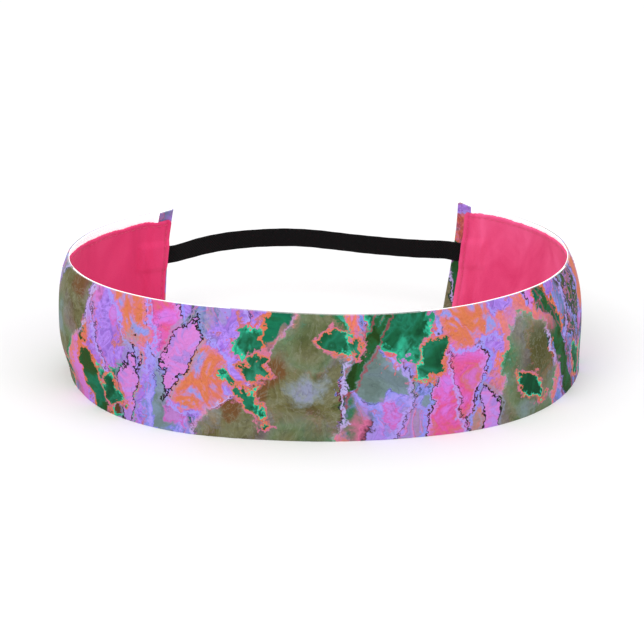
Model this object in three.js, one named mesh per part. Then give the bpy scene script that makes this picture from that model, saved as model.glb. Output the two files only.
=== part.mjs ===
// Sports headband: a wide printed cover ribbon with a velvet lining sewn inside it, closed at the
// back by a narrow braided elastic. It stands on its lower edge, as it does when it is put down.
//
// Frame: millimetres, +Z up, the wearer's forehead faces -Y, the elastic is at +Y. The origin is the
// middle of the loop on the surface that the lower edge rests on.
//
// The cover and the lining bend at the middle of the forehead when the loop is spread, so each is
// made as a left and a right half that meet there with a hairline gap.

import * as THREE from "three";

// ---------- driving dimensions ----------
const BAND_W = 50.8; // width of the cover ribbon, a 2 inch ribbon
const COVER_T = 1.0; // thickness of the cover cloth
const LINING_T = 0.9; // thickness of the velvet, pile included
const ELASTIC_W = 8.0; // width of the braided elastic
const ELASTIC_T = 1.0; // thickness of the braided elastic
const GAP = 0.3; // air left between two pieces that touch
const HEM_W = 7.0; // how far the cover is turned in at each end
const TAB_L = 12.0; // how far the elastic reaches into each end
const MARGIN = 2.7; // cover left bare above and below the lining
const END_MARGIN = 4.0; // the same at the ends, where the corners are rounded down
const LINING_SETBACK_L = 0.6; // from the band's left end to the lining's end
const LINING_SETBACK_R = 3.5; // from the band's right end to the lining's end
const THREAD_W = 0.5; // width of a stitch row
const THREAD_T = 0.3; // thickness of a stitch row
const SEAM_INSET = 1.8; // stitch row inside the lining's long edges
const END_SEAM_INSET = 2.2; // stitch row inside the lining's short ends
const ELASTIC_Z_L = 31.3; // height of the elastic's middle at the left end
const ELASTIC_Z_R = 30.4; // and at the right end
const SPLIT = 0.15; // half the hairline between the left and right halves
const PHI_L = -132.8; // where the band ends on the left, in degrees round from the forehead
const PHI_R = 140.9; // and on the right
const SHIFT_X = 0.69; // puts the origin at the middle of the loop
const SHIFT_Y = -7.39;

// ---------- the loop that the cover's outer face follows ----------
// Radius of the upper edge round the loop: cosine and sine terms of the angle from the forehead.
const TOP_COS = [83.4, -9.05, -13.41, 0.32, 2.38, -0.5];
const TOP_SIN = [0.15, -0.47, 2.1];
// How much further out the lower edge stands, by angle in degrees.
const FLARE = [
  [-150, 5], [-133, 5], [-120, 6], [-105, 5], [-92, 1.2], [-80, 0.6], [-68, 2.8], [-57, 5],
  [-45, 6.2], [-30, 5.7], [-15, 4.3], [0, 2.9], [15, 1.6], [30, 1.7], [45, 3.2], [60, 4.4],
  [75, 4], [88, 4.2], [102, 7], [115, 6], [127, 2], [140, -3], [150, -3],
];
// How far the width bellies out between the two edges, most a little above the middle.
const BELLY = [
  [-150, 1.0], [-133, 1.0], [-110, 2.5], [-90, 3.5], [-60, 2.3], [-30, 1.5], [0, 1.2],
  [30, 1.5], [60, 2.4], [90, 3.3], [110, 2.3], [140, 1.0], [150, 1.0],
];
// The ends lean: the lower corner reaches this much further round than the upper one, in mm.
const END_LEAN_L = -1.4;
const END_LEAN_R = 6.8;

const RAD = Math.PI / 180;

function smooth(t) {
  const c = Math.min(1, Math.max(0, t));
  return c * c * (3 - 2 * c);
}

// Cubic Hermite through a table of [degrees, value] rows, with finite-difference slopes.
function table(rows, deg) {
  const n = rows.length;
  if (deg <= rows[0][0]) return rows[0][1];
  if (deg >= rows[n - 1][0]) return rows[n - 1][1];
  let i = 0;
  while (deg > rows[i + 1][0]) i++;
  const slope = (k) => {
    if (k <= 0 || k >= n - 1) return 0;
    return (rows[k + 1][1] - rows[k - 1][1]) / (rows[k + 1][0] - rows[k - 1][0]);
  };
  const h = rows[i + 1][0] - rows[i][0];
  const t = (deg - rows[i][0]) / h;
  const t2 = t * t, t3 = t2 * t;
  return (
    (2 * t3 - 3 * t2 + 1) * rows[i][1] + (t3 - 2 * t2 + t) * h * slope(i) +
    (-2 * t3 + 3 * t2) * rows[i + 1][1] + (t3 - t2) * h * slope(i + 1)
  );
}

function radius(phi, v) {
  let r = 0;
  TOP_COS.forEach((a, k) => (r += a * Math.cos(k * phi)));
  TOP_SIN.forEach((b, k) => (r += b * Math.sin((k + 1) * phi)));
  const deg = phi / RAD;
  const u = Math.max(v, 0) ** 1.5;
  return r + (1 - v) * table(FLARE, deg) + table(BELLY, deg) * 4 * u * (1 - u);
}

function onLoop(phi, v) {
  const r = radius(phi, v);
  return new THREE.Vector2(r * Math.sin(phi) + SHIFT_X, -r * Math.cos(phi) + SHIFT_Y);
}

// Length along the band at mid width, 0 at the forehead, negative to the wearer's left.
const STEP = 0.25 * RAD;
const arc = [];
{
  const n0 = Math.round((-160 * RAD) / STEP), n1 = Math.round((160 * RAD) / STEP);
  let s = 0;
  let last = onLoop(0, 0.5);
  arc.push([0, 0]);
  for (let i = 1; i <= n1; i++) {
    const p = onLoop(i * STEP, 0.5);
    s += p.distanceTo(last);
    last = p;
    arc.push([s, i * STEP]);
  }
  s = 0;
  last = onLoop(0, 0.5);
  for (let i = -1; i >= n0; i--) {
    const p = onLoop(i * STEP, 0.5);
    s -= p.distanceTo(last);
    last = p;
    arc.unshift([s, i * STEP]);
  }
}
function phiAt(s) {
  let lo = 0, hi = arc.length - 1;
  while (hi - lo > 1) {
    const m = (lo + hi) >> 1;
    if (arc[m][0] <= s) lo = m;
    else hi = m;
  }
  const t = (s - arc[lo][0]) / (arc[hi][0] - arc[lo][0]);
  return arc[lo][1] + t * (arc[hi][1] - arc[lo][1]);
}
function lengthAt(phi) {
  let i = 0;
  while (arc[i + 1][1] < phi) i++;
  const t = (phi - arc[i][1]) / (arc[i + 1][1] - arc[i][1]);
  return arc[i][0] + t * (arc[i + 1][0] - arc[i][0]);
}
const S_L = lengthAt(PHI_L * RAD);
const S_R = lengthAt(PHI_R * RAD);

// A point of the band: s along it, depth inwards from the cover's outer face, v from 0 at the lower
// edge to 1 at the upper edge.
function inBand(s, depth, v) {
  let phi = phiAt(s);
  const lean =
    (END_LEAN_R / radius(phi, 0.5)) * smooth((s - (S_R - 70)) / 70) -
    (END_LEAN_L / radius(phi, 0.5)) * smooth((S_L + 70 - s) / 70);
  phi -= lean * (v - 0.5);
  const p = onLoop(phi, v);
  const a = onLoop(phi - 0.002, v), b = onLoop(phi + 0.002, v);
  const d = b.sub(a).normalize();
  return new THREE.Vector3(p.x - d.y * depth, p.y + d.x * depth, BAND_W * v);
}

// ---------- builders ----------
// A strip whose section is thin: place(i, n, side, w) gives the point at step i of n along it, on
// the side -1 or 1 of its thickness, at w from 0 to 1 across its width.
function strip(name, steps, across, place, material) {
  const g = new THREE.BoxGeometry(1, 1, 1, steps, 1, across);
  const p = g.getAttribute("position");
  for (let i = 0; i < p.count; i++) {
    const q = place(
      Math.round((p.getX(i) + 0.5) * steps),
      steps,
      Math.sign(p.getY(i)),
      Math.round((p.getZ(i) + 0.5) * across) / across,
    );
    p.setXYZ(i, q.x, q.y, q.z);
  }
  g.computeVertexNormals();
  const m = new THREE.Mesh(g, material);
  m.name = name;
  return m;
}

// Points of a path in the band's own (s, depth) plane, with the direction across it.
function withNormals(path) {
  return path.map((q, i) => {
    const a = path[Math.max(0, i - 1)], b = path[Math.min(path.length - 1, i + 1)];
    const dx = b[0] - a[0], dy = b[1] - a[1], l = Math.hypot(dx, dy);
    return { s: q[0], d: q[1], ns: -dy / l, nd: dx / l };
  });
}

function bandStrip(name, path, thickness, across, low, high, material) {
  const pts = withNormals(path);
  return strip(
    name,
    pts.length - 1,
    across,
    (i, n, side, w) => {
      const q = pts[i];
      const s = q.s + (side * thickness * q.ns) / 2;
      const d = q.d + (side * thickness * q.nd) / 2;
      return inBand(s, d, (low(q.s) + w * (high(q.s) - low(q.s))) / BAND_W);
    },
    material,
  );
}

function line(from, to, step, depth) {
  const n = Math.max(1, Math.round(Math.abs(to - from) / step));
  const out = [];
  for (let i = 0; i <= n; i++) {
    const s = from + ((to - from) * i) / n;
    out.push([s, typeof depth === "function" ? depth(s) : depth]);
  }
  return out;
}

// ---------- materials ----------
const cover = new THREE.MeshStandardMaterial({ color: 0x9a86c8, roughness: 0.55, metalness: 0 });
const velvet = new THREE.MeshStandardMaterial({ color: 0xe0406f, roughness: 0.9, metalness: 0 });
const elastic = new THREE.MeshStandardMaterial({ color: 0x101010, roughness: 0.8, metalness: 0 });
const pinkThread = new THREE.MeshStandardMaterial({ color: 0xd03a66, roughness: 0.7, metalness: 0 });
const lilacThread = new THREE.MeshStandardMaterial({ color: 0xa79bc9, roughness: 0.7, metalness: 0 });

const band = new THREE.Group();

// ---------- cover ----------
// One cloth from the turned-in edge, round the end, and along to the forehead.
const HEM_D = COVER_T + GAP + COVER_T / 2; // depth of the turned-in part's middle
const TURN_R = (HEM_D - COVER_T / 2) / 2; // radius of the fold at its middle
const FOLD_S = TURN_R + COVER_T / 2; // the fold's centre is this far inside the band's end
function turn(end, sign) {
  // From the turned-in part, round the end, to the outer part; sign is +1 at the left end.
  const out = [];
  for (let i = 1; i < 6; i++) {
    const a = (Math.PI * i) / 6;
    out.push([
      end + sign * (FOLD_S - TURN_R * Math.sin(a)),
      HEM_D - TURN_R + TURN_R * Math.cos(a),
    ]);
  }
  return out;
}
const coverLow = () => 0;
const coverHigh = () => BAND_W;
{
  const left = [
    ...line(S_L + HEM_W, S_L + FOLD_S, 2, HEM_D),
    ...turn(S_L, 1),
    ...line(S_L + FOLD_S, -SPLIT, 3.8, COVER_T / 2),
  ];
  band.add(bandStrip("cover_left", left, COVER_T, 5, coverLow, coverHigh, cover));
  const right = [
    ...line(SPLIT, S_R - FOLD_S, 3.8, COVER_T / 2),
    ...turn(S_R, -1).reverse(),
    ...line(S_R - FOLD_S, S_R - HEM_W, 2, HEM_D),
  ];
  band.add(bandStrip("cover_right", right, COVER_T, 5, coverLow, coverHigh, cover));
}

// ---------- lining ----------
// It lies on the cover, and steps inwards near the ends to pass over the hem and the elastic.
const TAB_D = HEM_D + COVER_T / 2 + GAP + ELASTIC_T / 2; // depth of the elastic's middle in the ends
const LINING_D = COVER_T + GAP + LINING_T / 2;
const LINING_END_D = TAB_D + ELASTIC_T / 2 + GAP + LINING_T / 2;
function liningDepth(s) {
  const inside = Math.min(s - S_L, S_R - s);
  return LINING_END_D + (LINING_D - LINING_END_D) * smooth((inside - (TAB_L + 2)) / 20);
}
function margin(s) {
  const inside = Math.min(s - S_L, S_R - s);
  return END_MARGIN + (MARGIN - END_MARGIN) * smooth(inside / 14);
}
const liningLow = (s) => margin(s);
const liningHigh = (s) => BAND_W - margin(s);
band.add(
  bandStrip("lining_left", line(S_L + LINING_SETBACK_L, -SPLIT, 3.8, liningDepth), LINING_T, 5, liningLow, liningHigh, velvet),
  bandStrip("lining_right", line(SPLIT, S_R - LINING_SETBACK_R, 3.8, liningDepth), LINING_T, 5, liningLow, liningHigh, velvet),
);

// ---------- stitching ----------
// Lockstitch rows: the needle thread lies on the lining, the bobbin thread on the cover's face.
const needleDepth = (s) => liningDepth(s) + LINING_T / 2 + GAP + THREAD_T / 2;
const bobbinDepth = () => -GAP - THREAD_T / 2;
function row(name, from, to, depth, z, material) {
  const at = (s) => z(s);
  band.add(
    bandStrip(name, line(from, to, 4.2, depth), THREAD_T, 1, (s) => at(s) - THREAD_W / 2, (s) => at(s) + THREAD_W / 2, material),
  );
}
const topSeam = (s) => BAND_W - margin(s) - SEAM_INSET;
const bottomSeam = (s) => margin(s) + SEAM_INSET;
const seamEndL = S_L + LINING_SETBACK_L + 1.2;
const seamEndR = S_R - LINING_SETBACK_R - 1.2;
row("top_seam_needle_thread_left", seamEndL, -SPLIT, needleDepth, topSeam, pinkThread);
row("top_seam_needle_thread_right", SPLIT, seamEndR, needleDepth, topSeam, pinkThread);
row("bottom_seam_needle_thread_left", seamEndL, -SPLIT, needleDepth, bottomSeam, pinkThread);
row("bottom_seam_needle_thread_right", SPLIT, seamEndR, needleDepth, bottomSeam, pinkThread);
row("top_seam_bobbin_thread_left", seamEndL, -SPLIT, bobbinDepth, topSeam, lilacThread);
row("top_seam_bobbin_thread_right", SPLIT, seamEndR, bobbinDepth, topSeam, lilacThread);
row("bottom_seam_bobbin_thread_left", seamEndL, -SPLIT, bobbinDepth, bottomSeam, lilacThread);
row("bottom_seam_bobbin_thread_right", SPLIT, seamEndR, bobbinDepth, bottomSeam, lilacThread);

function endRow(name, s0, depth, material) {
  // Across the band, between the two long rows.
  const steps = 10;
  band.add(
    strip(
      name,
      1,
      steps,
      (i, n, side, w) => {
        const s = s0 + (i - 0.5) * THREAD_W;
        const z0 = bottomSeam(s0) + 1.2, z1 = topSeam(s0) - 1.2;
        return inBand(s, depth(s0) + (side * THREAD_T) / 2, (z0 + w * (z1 - z0)) / BAND_W);
      },
      material,
    ),
  );
}
endRow("end_seam_needle_thread_left", S_L + LINING_SETBACK_L + END_SEAM_INSET, needleDepth, pinkThread);
endRow("end_seam_needle_thread_right", S_R - LINING_SETBACK_R - END_SEAM_INSET, needleDepth, pinkThread);
endRow("end_seam_bobbin_thread_left", S_L + LINING_SETBACK_L + END_SEAM_INSET, bobbinDepth, lilacThread);
endRow("end_seam_bobbin_thread_right", S_R - LINING_SETBACK_R - END_SEAM_INSET, bobbinDepth, lilacThread);

// ---------- elastic ----------
// Its two ends lie inside the band's ends, between the turned-in hem and the lining; between them it
// hangs free in a slack bow. Inside the ends it leans with the band, outside it stands upright.
{
  const at = (s, z, side) => inBand(s, TAB_D, (z + (side * ELASTIC_W) / 2) / BAND_W);
  const edges = [[], []]; // lower edge, upper edge
  const add = (s, z) => [-1, 1].forEach((side, k) => edges[k].push(at(s, z, side)));
  const beyond = (fromEnd, along) => {
    const list = edges.map((e) => e[e.length - 1].clone());
    const prev = edges.map((e) => e[e.length - 2].clone());
    list.forEach((p, k) => edges[k].push(p.clone().addScaledVector(p.clone().sub(prev[k]).normalize(), along)));
  };
  for (const k of [TAB_L, 9, 6, 3, 0]) add(S_L + k, ELASTIC_Z_L);
  beyond(0, 2.5);
  const bow = [
    [-50.5, 69.3], [-42, 74.6], [-33, 78.0], [-24, 80.0], [-14, 80.8], [-5, 79.6], [5, 76.6],
    [16, 73.0], [28, 69.9], [39, 67.7],
  ];
  bow.forEach(([x, y]) => {
    const z = ELASTIC_Z_L + ((x + 64) / 120) * (ELASTIC_Z_R - ELASTIC_Z_L);
    [-1, 1].forEach((side, k) => {
      edges[k].push(new THREE.Vector3(x + SHIFT_X, y + SHIFT_Y, z + (side * ELASTIC_W) / 2));
    });
  });
  const tail = [0, 3, 6, 9, TAB_L].map((k) => [-1, 1].map((side) => at(S_R - k, ELASTIC_Z_R, side)));
  [0, 1].forEach((k) => {
    const out = tail[0][k].clone().sub(tail[1][k]).normalize();
    edges[k].push(tail[0][k].clone().addScaledVector(out, 2.5), ...tail.map((t) => t[k]));
  });
  const curves = edges.map((e) => new THREE.CatmullRomCurve3(e, false, "centripetal"));
  const legs = edges[0].length - 1;
  const us = [];
  for (let i = 0; i < legs; i++) {
    const parts = i < 5 || i >= legs - 5 ? 2 : 4;
    for (let k = 0; k < parts; k++) us.push((i + k / parts) / legs);
  }
  us.push(1);
  band.add(
    strip(
      "elastic_strap",
      us.length - 1,
      1,
      (i, n, side, w) => {
        const a = curves[0].getPoint(us[i]), b = curves[1].getPoint(us[i]);
        const t = curves[0].getTangent(us[i]).add(curves[1].getTangent(us[i])).normalize();
        const normal = t.clone().cross(b.clone().sub(a).normalize()).normalize();
        return a.lerp(b, w).addScaledVector(normal, (-side * ELASTIC_T) / 2);
      },
      elastic,
    ),
  );
}

export default band;
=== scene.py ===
import math

import bmesh
import bpy
import numpy as np
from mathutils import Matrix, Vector


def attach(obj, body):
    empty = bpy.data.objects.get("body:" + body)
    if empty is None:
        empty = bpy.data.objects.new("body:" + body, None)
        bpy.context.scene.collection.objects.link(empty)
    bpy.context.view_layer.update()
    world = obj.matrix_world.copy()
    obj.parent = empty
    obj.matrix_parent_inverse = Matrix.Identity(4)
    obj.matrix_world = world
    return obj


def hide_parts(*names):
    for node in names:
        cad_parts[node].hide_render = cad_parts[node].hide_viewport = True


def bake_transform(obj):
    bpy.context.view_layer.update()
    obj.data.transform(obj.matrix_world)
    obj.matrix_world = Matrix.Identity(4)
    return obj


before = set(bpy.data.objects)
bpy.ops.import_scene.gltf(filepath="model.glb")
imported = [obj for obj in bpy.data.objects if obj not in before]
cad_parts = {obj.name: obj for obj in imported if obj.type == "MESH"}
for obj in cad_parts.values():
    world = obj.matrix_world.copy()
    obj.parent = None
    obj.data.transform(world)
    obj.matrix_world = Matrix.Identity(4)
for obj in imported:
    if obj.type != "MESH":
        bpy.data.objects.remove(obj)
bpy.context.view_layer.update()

# ---------- camera ----------
# The frame's millimetres; the camera looks 21 degrees down at the front of the band.
PITCH = math.radians(21.0)
AIM = Vector((0.000181, -0.007390, 0.023525))
cam_data = bpy.data.cameras.new("camera")
cam = bpy.data.objects.new("camera", cam_data)
bpy.context.scene.collection.objects.link(cam)
cam.location = AIM + Vector((0.0, -math.cos(PITCH), math.sin(PITCH))) * 1.150
cam.rotation_euler = (math.pi / 2 - PITCH, 0.0, 0.0)
cam_data.sensor_width = 36.0
cam_data.lens = 161.34
cam_data.clip_start, cam_data.clip_end = 0.05, 50.0
bpy.context.scene.camera = cam
bpy.context.scene.view_settings.view_transform = "Standard"
bpy.context.scene.view_settings.look = "None"

# ---------- the band's own surface, as the CAD source has it, in millimetres ----------
BAND_W = 50.8
COVER_T = 1.0
HEM_W = 7.0
HEM_D = 1.8
TAB_L = 12.0
TAB_D = 3.1
ELASTIC_W = 8.0
ELASTIC_T = 1.0
ELASTIC_Z_L, ELASTIC_Z_R = 31.3, 30.4
SETBACK_L, SETBACK_R = 0.6, 4.1
SHIFT_X, SHIFT_Y = 0.69, -7.39
TOP_COS = [83.4, -9.05, -13.41, 0.32, 2.38, -0.5]
TOP_SIN = [0.15, -0.47, 2.1]
FLARE = np.array([
    [-150, 5], [-133, 5], [-120, 6], [-105, 5], [-92, 1.2], [-80, 0.6], [-68, 2.8], [-57, 5],
    [-45, 6.2], [-30, 5.7], [-15, 4.3], [0, 2.9], [15, 1.6], [30, 1.7], [45, 3.2], [60, 4.4],
    [75, 4], [88, 4.2], [102, 7], [115, 6], [127, 2], [140, -3], [150, -3]], float)
BELLY = np.array([
    [-150, 1.0], [-133, 1.0], [-110, 2.5], [-90, 3.5], [-60, 2.3], [-30, 1.5], [0, 1.2],
    [30, 1.5], [60, 2.4], [90, 3.3], [110, 2.3], [140, 1.0], [150, 1.0]], float)
END_LEAN_L, END_LEAN_R = -1.4, 6.8


def smooth(t):
    t = np.clip(t, 0.0, 1.0)
    return t * t * (3 - 2 * t)


def table(rows, deg):
    x, y = rows[:, 0], rows[:, 1]
    n = len(x)
    m = np.zeros(n)
    m[1:-1] = (y[2:] - y[:-2]) / (x[2:] - x[:-2])
    deg = np.clip(deg, x[0], x[-1])
    i = np.clip(np.searchsorted(x, deg) - 1, 0, n - 2)
    h = x[i + 1] - x[i]
    t = (deg - x[i]) / h
    t2, t3 = t * t, t * t * t
    return ((2 * t3 - 3 * t2 + 1) * y[i] + (t3 - 2 * t2 + t) * h * m[i]
            + (-2 * t3 + 3 * t2) * y[i + 1] + (t3 - t2) * h * m[i + 1])


def radius(phi, v):
    r = sum(a * np.cos(k * phi) for k, a in enumerate(TOP_COS))
    r = r + sum(b * np.sin((k + 1) * phi) for k, b in enumerate(TOP_SIN))
    deg = np.degrees(phi)
    u = np.maximum(v, 0.0) ** 1.5
    # the left side swells low down and tucks in at its lower edge
    swell = 1.2 * np.exp(-((v - 0.34) / 0.20) ** 2) - 1.1 * np.exp(-(v / 0.16) ** 2)
    swell = swell * np.exp(-((deg + 84) / 15) ** 2)
    return r + (1 - v) * table(FLARE, deg) + table(BELLY, deg) * 4 * u * (1 - u) + swell


def on_loop(phi, v):
    r = radius(phi, v)
    return r * np.sin(phi) + SHIFT_X, -r * np.cos(phi) + SHIFT_Y


_phi = np.radians(np.arange(-640, 641) * 0.25)
_x, _y = on_loop(_phi, 0.5)
_len = np.concatenate([[0.0], np.cumsum(np.hypot(np.diff(_x), np.diff(_y)))])
_len -= _len[640]
S_L = float(np.interp(math.radians(-132.8), _phi, _len))
S_R = float(np.interp(math.radians(140.9), _phi, _len))


def waves(s, z, seed, rows):
    """A sum of sines with seeded phases; rows are (amplitude, wavelength along, wavelength up)."""
    rng = np.random.default_rng(seed)
    out = 0.0
    for amp, ls, lz in rows:
        a, b, c = rng.uniform(0, 2 * math.pi, 3)
        tilt = rng.uniform(-0.35, 0.35)
        out = out + amp * np.sin(2 * math.pi * (s + tilt * z) / ls + a) * np.cos(
            2 * math.pi * z / lz + b + 0.6 * np.sin(2 * math.pi * s / (ls * 2.3) + c))
    return out


def wander(s, v):
    """How far the whole sandwich of cloth sits off its smooth course, in mm; all layers share it."""
    z = v * BAND_W
    return waves(s, z, 11, [(0.16, 61, 130), (0.10, 37, 88), (0.05, 19, 60)]) * (
        0.6 + 0.9 * smooth((np.abs(s) - 120) / 70))


def in_band(s, depth, v):
    """A point of the band: s along it, depth inwards from the cover's outer face, v up it 0 to 1."""
    s, depth, v = np.broadcast_arrays(np.asarray(s, float), depth, v)
    phi = phi_plain = np.interp(s, _len, _phi)
    rm = radius(phi_plain, 0.5)
    lean = ((END_LEAN_R - 2.1) / rm * smooth((s - (S_R - 70)) / 70)
            - END_LEAN_L / rm * smooth((S_L + 70 - s) / 70))
    phi = phi_plain - lean * (v - 0.5) + 0.5 / rm * smooth((s - (S_R - 70)) / 70)
    x, y = on_loop(phi, v)
    ax, ay = on_loop(phi - 0.002, v)
    bx, by = on_loop(phi + 0.002, v)
    dx, dy = bx - ax, by - ay
    l = np.hypot(dx, dy)
    d = depth + wander(s, v)
    # the free upper corners stand up a little at the band's ends
    lift = 1.3 * smooth((s - (S_R - 9)) / 9) * smooth((v - 0.72) / 0.28)
    lift = lift + 0.7 * smooth((S_L + 8 - s) / 8) * smooth((v - 0.72) / 0.28)
    lift = lift - 0.8 * smooth((s - (S_R - 1.6)) / 1.9) * smooth((v - 0.97) / 0.03)
    return np.stack([x - dy / l * d, y + dx / l * d, BAND_W * v + lift], -1)


# ---------- mesh helpers ----------
def make_mesh(name, verts, faces, mats, face_mats=None, attrs=None, smooth_shade=True):
    me = bpy.data.meshes.new(name)
    faces = [np.asarray(f, np.int64) for f in faces if len(f)]
    me.vertices.add(len(verts))
    me.vertices.foreach_set("co", (np.asarray(verts) * 0.001).astype(np.float32).ravel())
    loops = np.concatenate([f.ravel() for f in faces])
    sizes = np.concatenate([np.full(len(f), f.shape[1]) for f in faces])
    starts = np.concatenate([[0], np.cumsum(sizes)[:-1]])
    me.loops.add(len(loops))
    me.loops.foreach_set("vertex_index", loops.astype(np.int32))
    me.polygons.add(len(sizes))
    me.polygons.foreach_set("loop_start", starts.astype(np.int32))
    me.polygons.foreach_set("loop_total", sizes.astype(np.int32))
    if face_mats is not None:
        me.polygons.foreach_set("material_index", np.asarray(face_mats, np.int32))
    me.polygons.foreach_set("use_smooth", np.full(len(sizes), smooth_shade))
    for key, value in (attrs or {}).items():
        value = np.asarray(value, np.float32)
        kind = "FLOAT_VECTOR" if value.ndim == 2 else "FLOAT"
        at = me.attributes.new(key, kind, "POINT")
        at.data.foreach_set("vector" if value.ndim == 2 else "value", value.ravel())
    me.update(calc_edges=True)
    me.validate()
    if name == "cover_ribbon":
        # its caps meet the folded hems: turn every face the same way out
        bm = bmesh.new()
        bm.from_mesh(me)
        bmesh.ops.recalc_face_normals(bm, faces=bm.faces)
        bm.to_mesh(me)
        bm.free()
    ob = bpy.data.objects.new(name, me)
    bpy.context.scene.collection.objects.link(ob)
    for m in mats:
        me.materials.append(m)
    return ob


def tube_faces(n, k, cap=None):
    """Quads of a grid of n stations by k ring points, closed round the ring; cap is not used."""
    i = np.arange(n - 1)[:, None]
    j = np.arange(k)[None, :]
    a = i * k + j
    b = i * k + (j + 1) % k
    quads = np.stack([a, b, b + k, a + k], -1).reshape(-1, 4)
    return quads


def flip_if_inward(verts, faces):
    """Turns all faces round if the closed mesh they make has its inside outside."""
    v = np.asarray(verts)
    vol = 0.0
    for f in faces:
        f = np.asarray(f)
        if not len(f):
            continue
        p0 = v[f[:, 0]]
        for t in range(1, f.shape[1] - 1):
            vol += float(np.einsum("ij,ij->i", p0, np.cross(v[f[:, t]], v[f[:, t + 1]])).sum())
    return [np.asarray(f)[:, ::-1] for f in faces] if vol < 0 else [np.asarray(f) for f in faces]


# ---------- material helpers ----------
def lin(c):
    out = []
    for x in c[:3]:
        x = x / 255.0
        out.append(x / 12.92 if x <= 0.04045 else ((x + 0.055) / 1.055) ** 2.4)
    return (*out, 1.0)


class Nodes:
    def __init__(self, name):
        self.mat = bpy.data.materials.new(name)
        self.mat.use_nodes = True
        self.t = self.mat.node_tree
        self.t.nodes.clear()
        self.out = self.t.nodes.new("ShaderNodeOutputMaterial")
        self.bsdf = self.t.nodes.new("ShaderNodeBsdfPrincipled")
        self.t.links.new(self.bsdf.outputs[0], self.out.inputs[0])

    def put(self, socket, value):
        if isinstance(value, bpy.types.NodeSocket):
            self.t.links.new(value, socket)
        elif value is not None:
            socket.default_value = value

    def m(self, op, a, b=None, c=None, clamp=False):
        n = self.t.nodes.new("ShaderNodeMath")
        n.operation = op
        n.use_clamp = clamp
        for i, x in enumerate((a, b, c)):
            self.put(n.inputs[i], x)
        return n.outputs[0]

    def attr(self, name, vector=True):
        n = self.t.nodes.new("ShaderNodeAttribute")
        n.attribute_name = name
        return n.outputs["Vector"] if vector else n.outputs["Fac"]

    def split(self, v):
        n = self.t.nodes.new("ShaderNodeSeparateXYZ")
        self.put(n.inputs[0], v)
        return n.outputs

    def join(self, x, y, z=0.0):
        n = self.t.nodes.new("ShaderNodeCombineXYZ")
        for i, q in enumerate((x, y, z)):
            self.put(n.inputs[i], q)
        return n.outputs[0]

    def scaled(self, v, s):
        n = self.t.nodes.new("ShaderNodeVectorMath")
        n.operation = "MULTIPLY"
        self.put(n.inputs[0], v)
        n.inputs[1].default_value = s
        return n.outputs[0]

    def moved(self, v, d):
        n = self.t.nodes.new("ShaderNodeVectorMath")
        n.operation = "ADD"
        self.put(n.inputs[0], v)
        self.put(n.inputs[1], d)
        return n.outputs[0]

    def noise(self, v, scale, detail=2.0, rough=0.5, dist=0.0, lac=2.0, color=False):
        n = self.t.nodes.new("ShaderNodeTexNoise")
        self.put(n.inputs["Vector"], v)
        n.inputs["Scale"].default_value = scale
        n.inputs["Detail"].default_value = detail
        n.inputs["Roughness"].default_value = rough
        n.inputs["Distortion"].default_value = dist
        n.inputs["Lacunarity"].default_value = lac
        return n.outputs["Color"] if color else n.outputs[0]

    def cells(self, v, scale, feature="F1", rand=1.0):
        n = self.t.nodes.new("ShaderNodeTexVoronoi")
        n.feature = feature
        self.put(n.inputs["Vector"], v)
        n.inputs["Scale"].default_value = scale
        n.inputs["Randomness"].default_value = rand
        return n.outputs["Distance"]

    def ramp(self, fac, stops, interp="LINEAR"):
        n = self.t.nodes.new("ShaderNodeValToRGB")
        r = n.color_ramp
        r.interpolation = interp
        while len(r.elements) > 1:
            r.elements.remove(r.elements[-1])
        for i, (p, c) in enumerate(stops):
            e = r.elements[0] if i == 0 else r.elements.new(p)
            e.position = p
            e.color = lin(c) if not isinstance(c, float) else (c, c, c, 1.0)
        self.put(n.inputs[0], fac)
        return n.outputs[0]

    def mix(self, fac, a, b, blend="MIX"):
        n = self.t.nodes.new("ShaderNodeMix")
        n.data_type = "RGBA"
        n.blend_type = blend
        n.clamp_factor = True
        self.put(n.inputs[0], fac)
        self.put(n.inputs[6], a)
        self.put(n.inputs[7], b)
        return n.outputs[2]

    def step(self, x, lo, hi, smooth_it=True):
        n = self.t.nodes.new("ShaderNodeMapRange")
        n.interpolation_type = "SMOOTHSTEP" if smooth_it else "LINEAR"
        self.put(n.inputs[0], x)
        n.inputs[1].default_value = lo
        n.inputs[2].default_value = hi
        n.inputs[3].default_value = 0.0
        n.inputs[4].default_value = 1.0
        return n.outputs[0]

    def near(self, x, centre, half):
        """1 where x is at centre, falling to 0 half away from it."""
        d = self.m("ABSOLUTE", self.m("SUBTRACT", x, centre))
        return self.m("SUBTRACT", 1.0, self.step(d, 0.0, half))

    def bump(self, height, distance, strength=1.0, normal=None):
        n = self.t.nodes.new("ShaderNodeBump")
        n.inputs["Strength"].default_value = strength
        n.inputs["Distance"].default_value = distance
        self.put(n.inputs["Height"], height)
        if normal is not None:
            self.put(n.inputs["Normal"], normal)
        return n.outputs[0]

    def set(self, **values):
        for k, v in values.items():
            self.put(self.bsdf.inputs[k.replace("_", " ")], v)


def c3(*c):
    return lin(c)


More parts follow.
